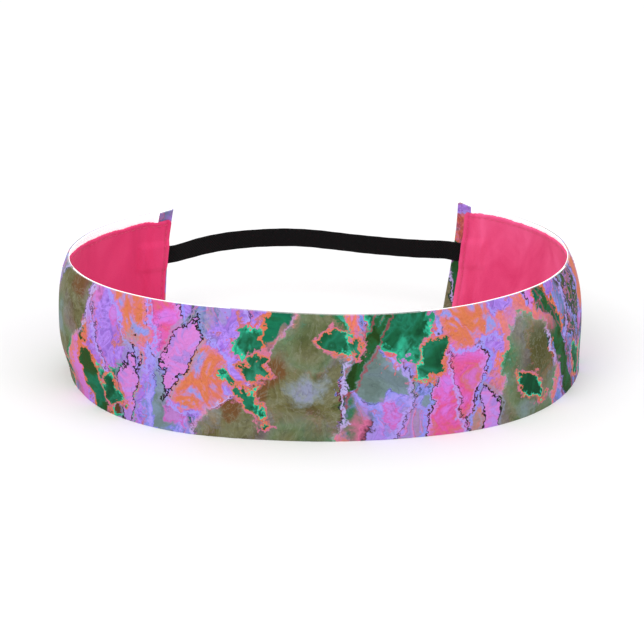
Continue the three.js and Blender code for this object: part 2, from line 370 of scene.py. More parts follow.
# ---------- the print: a generic marbled pattern; its whole layout is drawn from seeded random numbers ----------
PALETTE = {
    "periwinkle": (132, 142, 230), "lavender": (170, 136, 226), "violet": (184, 122, 230), "orchid": (212, 126, 208),
    "rose": (228, 104, 156), "coral": (228, 114, 100), "olive": (80, 86, 46), "forest": (50, 64, 28),
    "umber": (96, 70, 46), "slate": (118, 136, 152), "jade": (42, 116, 82), "ink": (66, 44, 50),
}
KINDS = {  # kind of run: colours it may take, least and most width in mm
    "pale": (["periwinkle", "lavender", "violet", "orchid", "slate"], 3.0, 8.5),
    "warm": (["rose", "coral", "orchid"], 1.2, 4.0),
    "dark": (["olive", "forest", "umber", "jade"], 3.0, 8.0),
    "line": (["ink"], 0.8, 1.2),
}
BAND_FROM, BAND_TO = -226.0, 236.0


def random_bands(rng, most=31):
    """Colour runs in random order along the band, cut into lists short enough for one ramp each."""
    stops, p, last = [], BAND_FROM, ""
    while p < BAND_TO:
        kind = str(rng.choice([k for k in ("pale", "pale", "warm", "dark", "line") if k != last or k == "pale"]))
        names, lo, hi = KINDS[kind]
        colour = np.clip(np.array(PALETTE[str(rng.choice(names))]) + rng.uniform(-9, 9, 3), 0, 255)
        stops.append((float(p), tuple(int(c) for c in colour)))
        p += rng.uniform(lo, hi)
        last = kind
    return [stops[i:i + most + 1] for i in range(0, len(stops) - 1, most)]


def random_blobs(rng, count, half_s, half_z, z_from=2.0, z_to=49.0):
    """Blobs spread irregularly along the band: centre, half sizes, lean, and the waves of the edge."""
    step = (BAND_TO - BAND_FROM) / count
    return [(BAND_FROM + step * (k + rng.uniform(0.05, 0.95)), rng.uniform(z_from, z_to), rng.uniform(*half_s),
             rng.uniform(*half_z), rng.uniform(-0.6, 0.6), rng.uniform(0.04, 0.20, 3), rng.uniform(0, 2 * np.pi, 3))
            for k in range(count)]


def random_veins(rng, count):
    """Thin lines that wander across the band from its top edge to its bottom edge."""
    lines, step = [], (BAND_TO - BAND_FROM) / count
    for k in range(count):
        x, rows = BAND_FROM + step * (k + rng.uniform(0.1, 0.9)), []
        for z in np.linspace(57.0, -6.0, 9):
            rows.append((x, z))
            x += rng.uniform(-7.0, 7.0)
        lines.append(rows)
    return lines


RNG = np.random.default_rng(4127)
RUN_BANDS = random_bands(RNG)
SLANT_PHASE = RNG.uniform(0, 2 * np.pi, 2)
BLOBS = {
    "smoky": random_blobs(RNG, 4, (17.0, 27.0), (26.0, 40.0)),
    "rose": random_blobs(RNG, 6, (6.0, 11.0), (14.0, 26.0)),
    "coral": random_blobs(RNG, 6, (7.0, 14.0), (7.0, 15.0)),
    "emerald": random_blobs(RNG, 6, (8.0, 15.0), (9.0, 20.0)),
    "bark": random_blobs(RNG, 4, (6.0, 10.0), (10.0, 20.0)),
    "pools": random_blobs(RNG, 11, (5.0, 12.0), (5.0, 14.0)),
    "fern": random_blobs(RNG, 5, (5.0, 9.0), (10.0, 20.0)),
    "moss": random_blobs(RNG, 6, (3.0, 5.0), (18.0, 34.0)),
    "isle": random_blobs(RNG, 6, (3.0, 5.0), (9.0, 18.0)),
    "spots": random_blobs(RNG, 14, (3.0, 6.0), (3.0, 8.0)),
    "lilac": random_blobs(RNG, 5, (14.0, 24.0), (34.0, 60.0)),
    "pale": random_blobs(RNG, 5, (18.0, 30.0), (34.0, 60.0)),
    "stripes": random_blobs(RNG, 5, (12.0, 22.0), (50.0, 80.0)),
}
CLOUDS = {k: random_blobs(RNG, n, hs, hz) for k, n, hs, hz in (
    ("brown", 14, (5.0, 8.0), (5.0, 12.0)), ("haze", 16, (5.0, 9.0), (4.0, 9.0)), ("leaf", 14, (3.0, 8.0), (4.0, 9.0)),
    ("fleck", 14, (3.0, 7.0), (3.0, 8.0)), ("smudge", 14, (4.0, 7.0), (2.0, 5.0)), ("husk", 10, (3.0, 8.0), (3.0, 10.0)),
    ("pale", 12, (3.0, 6.0), (2.0, 5.0)), ("blush", 14, (3.0, 5.0), (4.0, 8.0)))}
VEINS = random_veins(RNG, 9)


def blob_distance(s, z, rows):
    """Nearly the signed distance to the nearest blob's edge, positive inside."""
    best = np.full(s.shape, -60.0)
    for cx, cz, hx, hz, lean, amp, phase in rows:
        u, v = (s - cx + lean * (z - cz)) / hx, (z - cz) / hz
        turn = np.arctan2(v, u)
        wave = 1.0 + sum(a * np.cos((k + 2) * turn + p) for k, (a, p) in enumerate(zip(amp, phase)))
        best = np.maximum(best, (wave - np.hypot(u, v)) * min(hx, hz))
    return np.clip(best, -60, 60)


def cloud_field(s, z, rows):
    f = np.zeros(s.shape)
    for cx, cz, hx, hz, lean, _, _ in rows:
        f = np.maximum(f, np.exp(-0.7 * (((s - cx + lean * (z - cz)) / hx) ** 2 + ((z - cz) / hz) ** 2)))
    return f


def print_fields(s, z):
    """Vectors of slowly varying fields that the print's shader sharpens into its marbling."""
    slant = 0.16 + 0.22 * np.sin(s / 37.0 + SLANT_PHASE[0]) + 0.12 * np.sin(s / 17.0 + SLANT_PHASE[1])
    run = s + slant * (z - 25.4)
    d = {k: blob_distance(s, z, rows) for k, rows in BLOBS.items()}
    blob = {k: cloud_field(s, z, rows) for k, rows in CLOUDS.items()}
    vein = np.full(s.shape, 60.0)
    for line in VEINS:
        for (x0, y0), (x1, y1) in zip(line[:-1], line[1:]):
            ex, ey = x1 - x0, y1 - y0
            side = (s - x0) * ey - (z - y0) * ex
            t = np.clip(((s - x0) * ex + (z - y0) * ey) / (ex * ex + ey * ey), 0, 1)
            gap = np.hypot(s - x0 - t * ex, z - y0 - t * ey)
            vein = np.where(gap < np.abs(vein), np.where(side >= 0, gap, -gap), vein)
    return {
        "zone_a": np.stack([d["smoky"], d["rose"], d["coral"]], -1),
        "zone_b": np.stack([d["emerald"], d["bark"], d["spots"]], -1),
        "zone_c": np.stack([d["pools"], d["fern"], d["moss"]], -1),
        "zone_d": np.stack([d["isle"], d["lilac"], d["pale"]], -1),
        "zone_e": np.stack([d["stripes"], d["stripes"], d["stripes"]], -1),
        "cloud_a": np.stack([blob["brown"], blob["haze"], blob["leaf"]], -1),
        "cloud_c": np.stack([blob["husk"], blob["pale"], vein], -1),
        "cloud_b": np.stack([blob["fleck"], blob["smudge"], blob["blush"]], -1),
        "run": run,
    }


def marbled_print(name):
    g = Nodes(name)
    cloth = g.attr("cloth")
    za = g.split(g.attr("zone_a"))
    zb = g.split(g.attr("zone_b"))
    zc = g.split(g.attr("zone_c"))
    zd = g.split(g.attr("zone_d"))
    ze = g.split(g.attr("zone_e"))
    ca = g.split(g.attr("cloud_a"))
    cb = g.split(g.attr("cloud_b"))
    run = g.attr("run", vector=False)
    sz = g.split(cloth)
    flat = g.join(sz[0], sz[1], 0.0)

    # the marbling's own currents: a coarse one, ragged ones and a fine one, all about zero
    coarse = g.m("SUBTRACT", g.noise(flat, 0.032, 2.0, 0.5, 0.5), 0.5)
    rag = g.m("SUBTRACT", g.noise(flat, 0.10, 4.5, 0.60, 0.35), 0.5)
    rag2 = g.m("SUBTRACT", g.noise(g.moved(flat, (71.0, 13.0, 5.0)), 0.13, 4.5, 0.60, 0.6), 0.5)
    fine = g.m("SUBTRACT", g.noise(flat, 0.60, 2.5, 0.55, 0.8), 0.5)
    tooth = g.m("SUBTRACT", g.cells(g.moved(flat, (3.0, 1.0, 0.0)), 0.62, rand=1.0), 0.45)
    swirl = g.noise(g.scaled(flat, (1.0, 0.7, 1.0)), 0.060, 5.0, 0.55, 2.6)
    swirl2 = g.noise(g.moved(g.scaled(flat, (0.85, 1.0, 1.0)), (31.0, 7.0, 3.0)), 0.085, 5.0, 0.55, 1.8)
    flow = g.noise(g.moved(g.scaled(flat, (1.0, 0.6, 1.0)), (9.0, 40.0, 2.0)), 0.040, 3.0, 0.5, 1.2)
    mist = g.noise(g.moved(g.scaled(flat, (0.8, 1.0, 1.0)), (17.0, 3.0, 8.0)), 0.050, 3.5, 0.52, 1.0)
    veil = g.noise(g.moved(g.scaled(flat, (1.3, 0.6, 1.0)), (2.0, 51.0, 4.0)), 0.11, 4.0, 0.6, 1.6)

    def total(*terms):
        out = terms[0]
        for t in terms[1:]:
            out = g.m("ADD", out, t)
        return out

    def times(*terms):
        out = terms[0]
        for t in terms[1:]:
            out = g.m("MULTIPLY", out, t)
        return out

    def less(x):
        return g.m("SUBTRACT", 1.0, x)

    r = total(run, times(coarse, 16.0), times(rag, 19.0), times(fine, 2.6), times(tooth, 0.9))

    def run_ramp(stops):
        lo, hi = stops[0][0], stops[-1][0]
        return g.ramp(g.step(r, lo, hi, False), [((p - lo) / (hi - lo), c) for p, c in stops])

    base = run_ramp(RUN_BANDS[0])
    for stops in RUN_BANDS[1:]:
        base = g.mix(g.m("GREATER_THAN", r, float(stops[0][0])), base, run_ramp(stops))

    # agate bands: level lines of a slow flow, faint in the dark bands and clear in the pale ones
    level = g.m("FRACT", total(times(flow, 11.0), times(r, 0.060), times(fine, 0.22)))
    tint = g.ramp(level, [(0.0, (128, 140, 226)), (0.18, (138, 150, 238)), (0.34, (172, 150, 238)),
                          (0.44, (206, 150, 222)), (0.50, (232, 122, 176)), (0.535, (128, 84, 128)), (0.56, (146, 140, 222)),
                          (0.74, (132, 150, 210)), (0.90, (126, 146, 186)), (1.0, (128, 140, 226))])
    pale = g.step(total(zd[2], times(rag2, 12.0), times(fine, 2.0)), -1.5, 1.5)
    base = g.mix(times(pale, 0.62), base, tint)

    # stretches of narrow stripes with thin dark contour lines
    side = g.step(total(ze[0], times(rag, 12.0), times(fine, 2.0)), -1.5, 1.5)
    comb = g.m("FRACT", total(times(r, 0.118), times(flow, 1.6), times(rag2, 0.9)))
    stripe = g.ramp(comb, [(0.0, (112, 128, 208)), (0.07, (120, 146, 222)), (0.13, (178, 144, 228)), (0.16, (30, 24, 32)),
                           (0.20, (40, 48, 20)), (0.28, (78, 86, 38)), (0.39, (44, 58, 22)), (0.43, (20, 26, 18)),
                           (0.46, (184, 128, 206)), (0.52, (160, 96, 120)), (0.58, (204, 110, 96)), (0.60, (36, 40, 26)),
                           (0.63, (30, 96, 56)), (0.72, (40, 84, 36)), (0.76, (72, 54, 44)), (0.79, (186, 132, 214)),
                           (0.86, (150, 138, 196)), (0.90, (40, 36, 44)), (0.93, (128, 128, 186)), (1.0, (112, 128, 208))])
    base = g.mix(times(side, 0.88), base, stripe)

    def zone(d, amp_rag=17.0, amp_fine=4.0, amp_coarse=4.0, amp_tooth=1.0, rag_from=None):
        return total(d, times(rag_from or rag, amp_rag), times(fine, amp_fine),
                     times(coarse, amp_coarse), times(tooth, amp_tooth))

    # grey-green pools in the pale field, each inside a lavender and a periwinkle ring
    dq = zone(zc[0], 15.0, 2.5, 3.0, 0.5, rag2)
    broken = g.step(g.noise(g.moved(flat, (12.0, 33.0, 9.0)), 0.10, 3.0, 0.6, 0.6), 0.42, 0.56)
    base = g.mix(times(g.step(dq, -4.6, -3.2), 0.6), base, c3(132, 144, 236))
    base = g.mix(times(g.near(dq, -1.9, 1.5), g.m("ADD", 0.25, times(broken, 0.7))), base, c3(180, 156, 240))
    base = g.mix(times(g.near(dq, -3.4, 0.45), less(broken), 0.8), base, c3(206, 104, 128))
    base = g.mix(times(g.near(dq, -0.5, 0.40), less(broken), 0.85), base, c3(66, 46, 62))
    pool = g.ramp(mist, [(0.34, (104, 122, 118)), (0.46, (122, 140, 140)), (0.54, (132, 148, 168)), (0.64, (112, 128, 122))])
    base = g.mix(g.step(dq, -0.6, 0.5), base, pool)
    base = g.mix(times(g.step(dq, 2.4, 5.0), 0.55), base, c3(96, 112, 104))

    # the lilac zone: clouds of violet and lilac with a few coral flecks and grey-violet smudges
    lilac = g.step(total(zd[1], times(rag2, 14.0), times(fine, 3.0)), -0.8, 0.8)
    cloud = g.ramp(total(times(mist, 0.6), times(swirl2, 0.4)),
                   [(0.36, (142, 92, 196)), (0.42, (170, 112, 226)), (0.46, (190, 144, 244)), (0.50, (166, 118, 222)),
                    (0.53, (184, 138, 240)), (0.57, (148, 104, 206)), (0.62, (184, 118, 216)), (0.68, (160, 112, 220))])
    base = g.mix(times(lilac, 0.92), base, cloud)
    contour = g.near(g.m("FRACT", total(times(mist, 9.0), times(fine, 0.25))), 0.5, 0.055)
    base = g.mix(times(lilac, contour, 0.60), base, c3(122, 84, 172))
    smud = total(cb[1], times(rag2, 2.4), times(fine, 0.5))
    base = g.mix(times(lilac, g.step(smud, 0.44, 0.90), 0.85), base, c3(122, 98, 146))
    base = g.mix(times(lilac, g.near(smud, 0.50, 0.05), 0.45), base, c3(98, 72, 140))
    blush = total(cb[2], times(rag, 2.4), times(fine, 0.5))
    base = g.mix(times(g.step(blush, 0.40, 0.80), 0.75), base, c3(208, 124, 214))
    base = g.mix(times(g.near(blush, 0.72, 0.10), 0.7), base, c3(216, 92, 176))
    fleck = total(cb[0], times(rag2, 4.0), times(fine, 1.6), times(tooth, 0.25))
    base = g.mix(times(lilac, g.near(fleck, 0.50, 0.06), 0.8), base, c3(214, 120, 190))
    base = g.mix(times(lilac, g.step(fleck, 0.53, 0.57)), base, c3(196, 116, 140))
    flame = g.ramp(veil, [(0.38, (204, 122, 186)), (0.46, (214, 116, 128)), (0.52, (208, 114, 92)), (0.60, (220, 128, 150))])
    base = g.mix(times(lilac, g.step(fleck, 0.76, 0.92)), base, flame)
    base = g.mix(times(lilac, g.near(fleck, 0.70, 0.03), 0.8), base, c3(150, 84, 110))

    # rose zone with a thin dark outline
    dr = zone(za[1], 14.0, 4.0, 3.0, 1.2)
    rose = g.ramp(total(times(mist, 0.5), times(swirl2, 0.5)), [(0.34, (200, 128, 226)), (0.42, (222, 116, 214)), (0.48, (224, 98, 180)),
                           (0.53, (228, 90, 146)), (0.57, (216, 112, 120)), (0.62, (216, 108, 188)),
                           (0.70, (206, 128, 214))])
    base = g.mix(g.near(dr, -1.3, 1.3), base, c3(150, 150, 238))
    base = g.mix(g.step(dr, -0.40, -0.20), base, c3(66, 34, 26))
    base = g.mix(g.step(dr, 0.18, 0.50), base, c3(212, 134, 218))
    base = g.mix(g.step(dr, 0.9, 2.4), base, rose)

    # a thin ragged dark line, lavender on one side of it and rose on the other
    dv = total(g.split(g.attr("cloud_c"))[2], times(rag2, 9.0), times(fine, 3.6), times(tooth, 1.5))
    base = g.mix(times(g.near(dv, 1.3, 1.5), 0.85), base, c3(186, 160, 240))
    base = g.mix(times(g.near(dv, -0.9, 0.7), broken, 0.7), base, c3(216, 112, 150))
    base = g.mix(times(g.near(dv, 0.0, 0.50), 0.95), base, c3(74, 44, 30))

    # coral zone, soft edged
    dc = zone(za[2], 15.0, 4.0, 3.0, 1.0, rag2)
    coral = g.ramp(swirl, [(0.36, (150, 152, 228)), (0.43, (206, 132, 170)), (0.48, (224, 118, 100)),
                           (0.56, (222, 122, 76)), (0.62, (226, 128, 112)), (0.70, (186, 136, 204))])
    base = g.mix(g.near(dc, -1.4, 1.5), base, c3(170, 152, 238))
    base = g.mix(times(g.near(dc, -3.2, 0.35), broken, 0.6), base, c3(98, 82, 150))
    base = g.mix(g.step(dc, -0.4, 1.0), base, c3(224, 124, 148))
    base = g.mix(g.step(dc, 0.8, 2.4), base, coral)
    pale_in = total(g.split(g.attr("cloud_c"))[1], times(rag2, 3.0), times(fine, 1.0))
    base = g.mix(times(g.step(dc, 0.4, 1.6), g.step(pale_in, 0.42, 0.62), 0.85), base, c3(146, 144, 226))

    # brown zone, then the emerald zone: emerald with a bright rim and a coral edge
    em = g.ramp(total(times(mist, 0.85), times(veil, 0.15)),
                [(0.36, (16, 72, 44)), (0.44, (24, 96, 62)), (0.50, (34, 122, 92)), (0.55, (22, 88, 56)),
                 (0.61, (52, 140, 112)), (0.70, (22, 86, 56))])
    em_edge = c3(62, 210, 168)
    bark = g.ramp(total(times(veil, 0.6), times(swirl, 0.4)),
                  [(0.34, (56, 58, 20)), (0.43, (84, 60, 26)), (0.50, (104, 56, 42)),
                   (0.55, (70, 70, 32)), (0.61, (112, 92, 96)), (0.68, (132, 112, 160))])
    db = zone(zb[1], 16.0, 4.0, 4.0, 1.0, rag2)
    base = g.mix(g.near(db, -0.6, 0.9), base, c3(224, 104, 120))
    base = g.mix(g.step(db, -0.3, 0.2), base, bark)
    de = zone(zb[0], 20.0, 5.0, 3.0, 1.4)
    base = g.mix(times(g.step(de, -1.6, -1.2), g.m("ADD", 0.3, times(broken, 0.7))), base, c3(226, 104, 108))
    base = g.mix(g.step(de, -0.3, -0.1), base, em)
    base = g.mix(times(g.step(de, -0.3, -0.1), less(g.step(de, 0.0, 3.2)), g.m("ADD", 0.35, times(broken, 0.65))), base, em_edge)
    gap = total(g.noise(g.moved(g.scaled(flat, (1.0, 0.62, 1.0)), (6.0, 2.0, 7.0)), 0.060, 2.5, 0.52, 0.3),
                times(g.split(g.attr("cloud_c"))[0], 0.16), times(fine, 0.03))
    deep = g.step(de, 1.0, 2.2)
    base = g.mix(times(deep, g.step(gap, 0.55, 0.615), 0.8), base, em_edge)
    base = g.mix(times(deep, g.step(gap, 0.615, 0.621)), base, bark)

    # dark green patches, some edged in orange
    df = zone(zc[1], 19.0, 4.0, 6.0, 1.0)
    base = g.mix(g.step(df, -1.6, -1.1), base, c3(226, 116, 84))
    fern = g.ramp(mist, [(0.36, (14, 96, 72)), (0.5, (24, 116, 82)), (0.58, (30, 84, 40)), (0.68, (44, 74, 26))])
    base = g.mix(g.step(df, -0.2, 0.5), base, fern)
    dm = zone(zc[2], 10.0, 2.5, 2.0, 0.6, rag2)
    base = g.mix(times(g.near(dm, -0.8, 0.9), 0.8), base, c3(164, 70, 84))
    moss = g.ramp(veil, [(0.36, (36, 66, 24)), (0.5, (40, 88, 44)), (0.60, (34, 100, 62)), (0.7, (72, 74, 34))])
    base = g.mix(g.step(dm, -0.2, 0.8), base, moss)

    # smoky zones: soft olive, brown and grey drifts; here and there a teal rim and an orange edge
    ds = zone(za[0], 15.0, 3.5, 3.0, 0.9)
    right = g.step(g.noise(g.moved(flat, (5.0, 88.0, 6.0)), 0.020, 2.0, 0.5), 0.42, 0.58)
    drift = total(times(mist, 0.75), times(veil, 0.25))
    smoke = g.ramp(drift, [(0.36, (86, 82, 46)), (0.44, (106, 102, 66)), (0.50, (124, 120, 90)), (0.56, (116, 110, 72)),
                           (0.64, (96, 84, 50))])
    leaf = total(ca[2], times(rag2, 1.6), times(veil, 0.5))
    smoke = g.mix(times(g.step(leaf, 0.62, 1.15), 0.85), smoke, c3(72, 88, 38))
    haze = total(ca[1], times(rag2, 1.7), times(veil, 0.8))
    smoke = g.mix(times(g.step(haze, 0.70, 1.20), 0.88), smoke, c3(142, 150, 152))
    smoke = g.mix(times(g.step(haze, 1.00, 1.40), less(right), 0.8), smoke, c3(150, 148, 182))
    brown = total(ca[0], times(rag, 1.5), times(veil, 0.5))
    smoke = g.mix(times(g.step(brown, 0.66, 1.08), 0.92), smoke, c3(118, 76, 44))
    threads = g.near(g.m("FRACT", total(times(swirl, 7.0), times(veil, 2.0))), 0.5, 0.20)
    smoke = g.mix(times(threads, 0.24), smoke, c3(166, 162, 142))
    dusk = g.near(g.m("FRACT", total(times(swirl, 5.0), times(mist, 3.0))), 0.5, 0.16)
    smoke = g.mix(times(dusk, 0.22), smoke, c3(70, 58, 38))
    left = less(right)
    uneven = g.step(g.noise(g.moved(flat, (44.0, 19.0, 6.0)), 0.12, 3.0, 0.6, 0.6), 0.40, 0.60)
    wide = times(uneven, 3.2)
    base = g.mix(times(g.near(ds, -1.4, 1.0), left), base, c3(196, 176, 232))
    base = g.mix(times(g.near(ds, -0.4, 0.42), left), base, c3(32, 28, 30))
    ds_out = g.m("ADD", ds, wide)
    base = g.mix(times(g.step(ds_out, -3.4, -2.0), right, 0.8), base, c3(214, 132, 186))
    ember = g.ramp(veil, [(0.36, (214, 124, 158)), (0.44, (232, 118, 108)), (0.50, (240, 130, 92)), (0.56, (224, 112, 98)),
                          (0.64, (222, 128, 176))])
    base = g.mix(times(g.step(ds_out, -2.2, -1.2), right), base, ember)
    teal = g.ramp(uneven, [(0.0, (48, 150, 116)), (0.5, (76, 176, 156)), (1.0, (40, 190, 140))])
    base = g.mix(times(g.step(ds, -0.9, -0.6), right), base, teal)
    inner = g.m("SUBTRACT", ds, times(less(uneven), 2.4))
    base = g.mix(times(g.step(inner, -1.2, 0.4), right), base, c3(44, 110, 66))
    base = g.mix(g.m("MAXIMUM", times(g.step(ds, 0.05, 0.4), left),
                     times(g.step(inner, 0.3, 2.8), right)), base, smoke)

    di = zone(zd[0], 8.0, 3.0, 1.5, 1.2, rag2)
    base = g.mix(times(g.near(di, -1.2, 1.1), 0.6), base, c3(150, 152, 184))
    base = g.mix(g.step(di, -0.45, -0.25), base, c3(36, 34, 34))
    isle = g.ramp(swirl2, [(0.40, (196, 140, 226)), (0.50, (220, 128, 206)), (0.58, (178, 132, 214))])
    base = g.mix(g.step(di, 0.15, 0.45), base, isle)

    # small green spots with an orange edge
    dp = zone(zb[2], 17.0, 5.0, 5.0, 1.0, rag2)
    base = g.mix(times(g.step(dp, -2.6, -1.6), g.m("ADD", 0.2, times(broken, 0.8))), base, c3(212, 118, 150))
    base = g.mix(g.step(dp, -1.3, -0.8), base, c3(224, 118, 92))
    base = g.mix(g.step(dp, -0.2, 0.0), base, em)
    base = g.mix(times(g.step(dp, -0.2, 0.0), less(g.step(dp, 0.0, 1.8)), less(broken)), base, em_edge)

    # a fine tracery of thin darker lines, here and there
    trace = g.m("FRACT", total(times(mist, 16.0), times(r, 0.05), times(fine, 0.5)))
    trace_here = g.step(g.noise(g.moved(flat, (27.0, 61.0, 3.0)), 0.07, 2.0, 0.5), 0.44, 0.58)
    base = g.mix(times(g.near(trace, 0.30, 0.08), trace_here, 0.40), base, (0.42, 0.36, 0.46, 1.0), blend="MULTIPLY")
    grain = g.noise(flat, 0.9, 3.0, 0.65)
    base = g.mix(times(g.step(grain, 0.36, 0.62), 0.22), base, (0.62, 0.62, 0.64, 1.0), blend="MULTIPLY")

    # printed cloth: the threads show through a little, and the print thins at the cut edges
    base = g.mix(1.0, base, (0.87, 0.93, 0.94, 1.0), blend="MULTIPLY")
    tone = g.noise(flat, 1.1, 2.0, 0.5)
    base = g.mix(times(g.step(tone, 0.35, 0.70), 0.16), base, (0.80, 0.80, 0.82, 1.0), blend="MULTIPLY")
    weft = g.m("SINE", times(sz[0], 2 * math.pi / 0.42))
    warp = g.m("SINE", times(sz[1], 2 * math.pi / 0.36))
    knit = times(weft, warp)
    base = g.mix(times(g.step(knit, -1.0, 1.0), 0.05), base, c3(40, 30, 40))
    edge = g.m("MINIMUM", sz[1], g.m("SUBTRACT", BAND_W, sz[1]))
    worn = less(g.step(g.m("ADD", edge, times(fine, 0.5)), 0.10, 0.36))
    base = g.mix(times(worn, 0.35), base, c3(214, 210, 214))
    g.set(Base_Color=base, Roughness=g.m("ADD", 0.60, times(fine, 0.25)),
          Specular_IOR_Level=0.05)
    g.set(Normal=g.bump(g.m("ADD", knit, times(fine, 0.8)), 0.00005, 0.5))
    return g.mat


def white_reverse():
    g = Nodes("ribbon_reverse")
    sz = g.split(g.attr("cloth"))
    weft = g.m("SINE", g.m("MULTIPLY", sz[0], 2 * math.pi / 0.42))
    warp = g.m("SINE", g.m("MULTIPLY", sz[1], 2 * math.pi / 0.36))
    knit = g.m("MULTIPLY", weft, warp)
    n = g.noise(g.join(sz[0], sz[1], sz[2]), 0.8, 4.0, 0.6)
    col = g.ramp(n, [(0.3, (247, 246, 247)), (0.7, (254, 254, 254))])
    col = g.mix(g.m("MULTIPLY", g.step(knit, -1, 1), 0.05), col, c3(196, 190, 200))
    g.set(Base_Color=col, Roughness=0.75, Sheen_Weight=0.1, Specular_IOR_Level=0.2,
          Emission_Color=lin((255, 255, 255)), Emission_Strength=0.34)  # painted light: the white cloth glows to offset the pink light bounced onto it from the lining
    g.set(Normal=g.bump(knit, 0.00006, 0.5))
    return g.mat


def velvet():
    g = Nodes("velvet")
    cloth = g.attr("cloth")
    sz = g.split(cloth)
    flat = g.join(sz[0], sz[1], 0.0)
    nap = g.noise(g.scaled(flat, (1.0, 0.45, 1.0)), 0.05, 4.0, 0.55, 0.8)
    pile = g.noise(flat, 2.6, 3.0, 0.7)
    # painted light and shade: the left wing is coloured darker and the right wing lighter, as the key light falls on
    # them
    shaded_left_wing = g.ramp(nap, [(0.32, (208, 50, 103)), (0.5, (218, 56, 111)), (0.68, (225, 66, 119))])
    lit_right_wing = g.ramp(nap, [(0.32, (214, 60, 112)), (0.5, (226, 79, 129)), (0.68, (236, 96, 146))])
    col = g.mix(g.step(sz[0], -60.0, 60.0), shaded_left_wing, lit_right_wing)
    col = g.mix(g.m("MULTIPLY", g.step(pile, 0.35, 0.7), 0.14), col, c3(232, 104, 148))
    col = g.mix(g.m("MULTIPLY", g.m("SUBTRACT", 1.0, g.step(pile, 0.3, 0.5)), 0.12), col, c3(150, 24, 66))
    # painted shade: the pressed seam grooves are coloured darker
    seam_shade = g.attr("seam_shade", vector=False)
    col = g.mix(g.m("MULTIPLY", seam_shade, 0.30), col, c3(164, 28, 72))
    g.set(Base_Color=col, Roughness=0.92, Sheen_Weight=0.22, Sheen_Roughness=0.35,
          Sheen_Tint=lin((255, 190, 210)), Specular_IOR_Level=0.15)
    g.set(Normal=g.bump(g.m("ADD", pile, g.m("MULTIPLY", nap, 0.6)), 0.00016, 0.6))
    return g.mat


def braid():
    g = Nodes("braided_elastic")
    cloth = g.attr("cloth")
    p = g.split(cloth)  # x along, y across, z through
    rib = 2 * math.pi / (ELASTIC_W / 13.0)
    zig = g.m("SINE", g.m("ADD", g.m("MULTIPLY", p[0], 2 * math.pi / 1.1), g.m("MULTIPLY", p[1], rib * 0.5)))
    zag = g.m("SINE", g.m("SUBTRACT", g.m("MULTIPLY", p[0], 2 * math.pi / 1.1), g.m("MULTIPLY", p[1], rib * 0.5)))
    weave = g.m("MAXIMUM", zig, zag)
    fuzz = g.noise(cloth, 3.0, 4.0, 0.7)
    col = g.ramp(g.step(weave, -0.4, 1.0), [(0.0, (1, 1, 1)), (0.55, (5, 5, 5)), (1.0, (19, 19, 20))])
    col = g.mix(g.m("MULTIPLY", g.step(fuzz, 0.55, 0.75), 0.25), col, c3(20, 20, 21))
    g.set(Base_Color=col, Roughness=0.85, Sheen_Weight=0.0, Specular_IOR_Level=0.12)
    g.set(Normal=g.bump(g.m("ADD", weave, fuzz), 0.00010, 0.7))
    return g.mat


def thread_mat(name, colour, dark):
    g = Nodes(name)
    p = g.split(g.attr("cloth"))  # x along the thread, y round it
    ply = g.m("SINE", g.m("ADD", g.m("MULTIPLY", p[0], 2 * math.pi / 0.5), g.m("MULTIPLY", p[1], 2.0)))
    fuzz = g.noise(g.attr("cloth"), 4.0, 2.0, 0.6)
    col = g.mix(g.step(ply, -1.0, 0.4), lin(dark), lin(colour))
    col = g.mix(g.m("MULTIPLY", g.step(fuzz, 0.5, 0.8), 0.25), col, c3(250, 235, 240))
    g.set(Base_Color=col, Roughness=0.6, Sheen_Weight=0.2, Specular_IOR_Level=0.35)
    g.set(Normal=g.bump(ply, 0.00006, 0.7))
    return g.mat


PRINT = marbled_print("marbled_print")
REVERSE = white_reverse()
VELVET = velvet()
BRAID = braid()
PINK_THREAD = thread_mat("needle_thread", (226, 72, 120), (200, 54, 100))

# ---------- cover ----------
TURN_R = (HEM_D - COVER_T / 2) / 2
FOLD_S = TURN_R + COVER_T / 2


def cover_path():
    """Stations (s, depth, length of ribbon from the forehead) through the middle of the cloth."""
    pts = []
    n = 14
    for i in range(n):
        t = i / n
        s = S_L + HEM_W + (FOLD_S - HEM_W) * t
        pts.append((s, HEM_D, S_L - (s - S_L)))
    for i in range(0, 11):
        a = math.pi * i / 10
        pts.append((S_L + FOLD_S - TURN_R * math.sin(a), HEM_D - TURN_R + TURN_R * math.cos(a),
                    S_L - FOLD_S + 2 * FOLD_S * i / 10))
    run = np.linspace(S_L + FOLD_S, S_R - FOLD_S, 640)[1:-1]
    pts += [(s, COVER_T / 2, s) for s in run]
    for i in range(0, 11):
        a = math.pi * i / 10
        pts.append((S_R - FOLD_S + TURN_R * math.sin(a), HEM_D - TURN_R - TURN_R * math.cos(a),
                    S_R - FOLD_S + 2 * FOLD_S * i / 10))
    for i in range(1, n + 1):
        t = i / n
        s = S_R - FOLD_S + (FOLD_S - HEM_W) * t
        pts.append((s, HEM_D, S_R + (S_R - s)))
    return np.array(pts)


def section(width_pts, half_t, edge_r, n_edge=3):
    """Ring of (z, offset, kind) round a flat section; kind 0 is the first face, 1 the second, 2 the rims."""
    z = np.asarray(width_pts, float)
    ring = [(q, half_t, 0) for q in z]
    for i in range(1, n_edge * 2 + 1):
        a = math.pi / 2 * (1 - i / (n_edge + 0.5))
        ring.append((z[-1] + edge_r * math.cos(a), half_t * math.sin(a), 2))
    ring += [(q, -half_t, 1) for q in z[::-1]]
    for i in range(1, n_edge * 2 + 1):
        a = -math.pi / 2 * (1 - i / (n_edge + 0.5))
        ring.append((z[0] - edge_r * math.cos(a), half_t * math.sin(a), 2))
    return ring


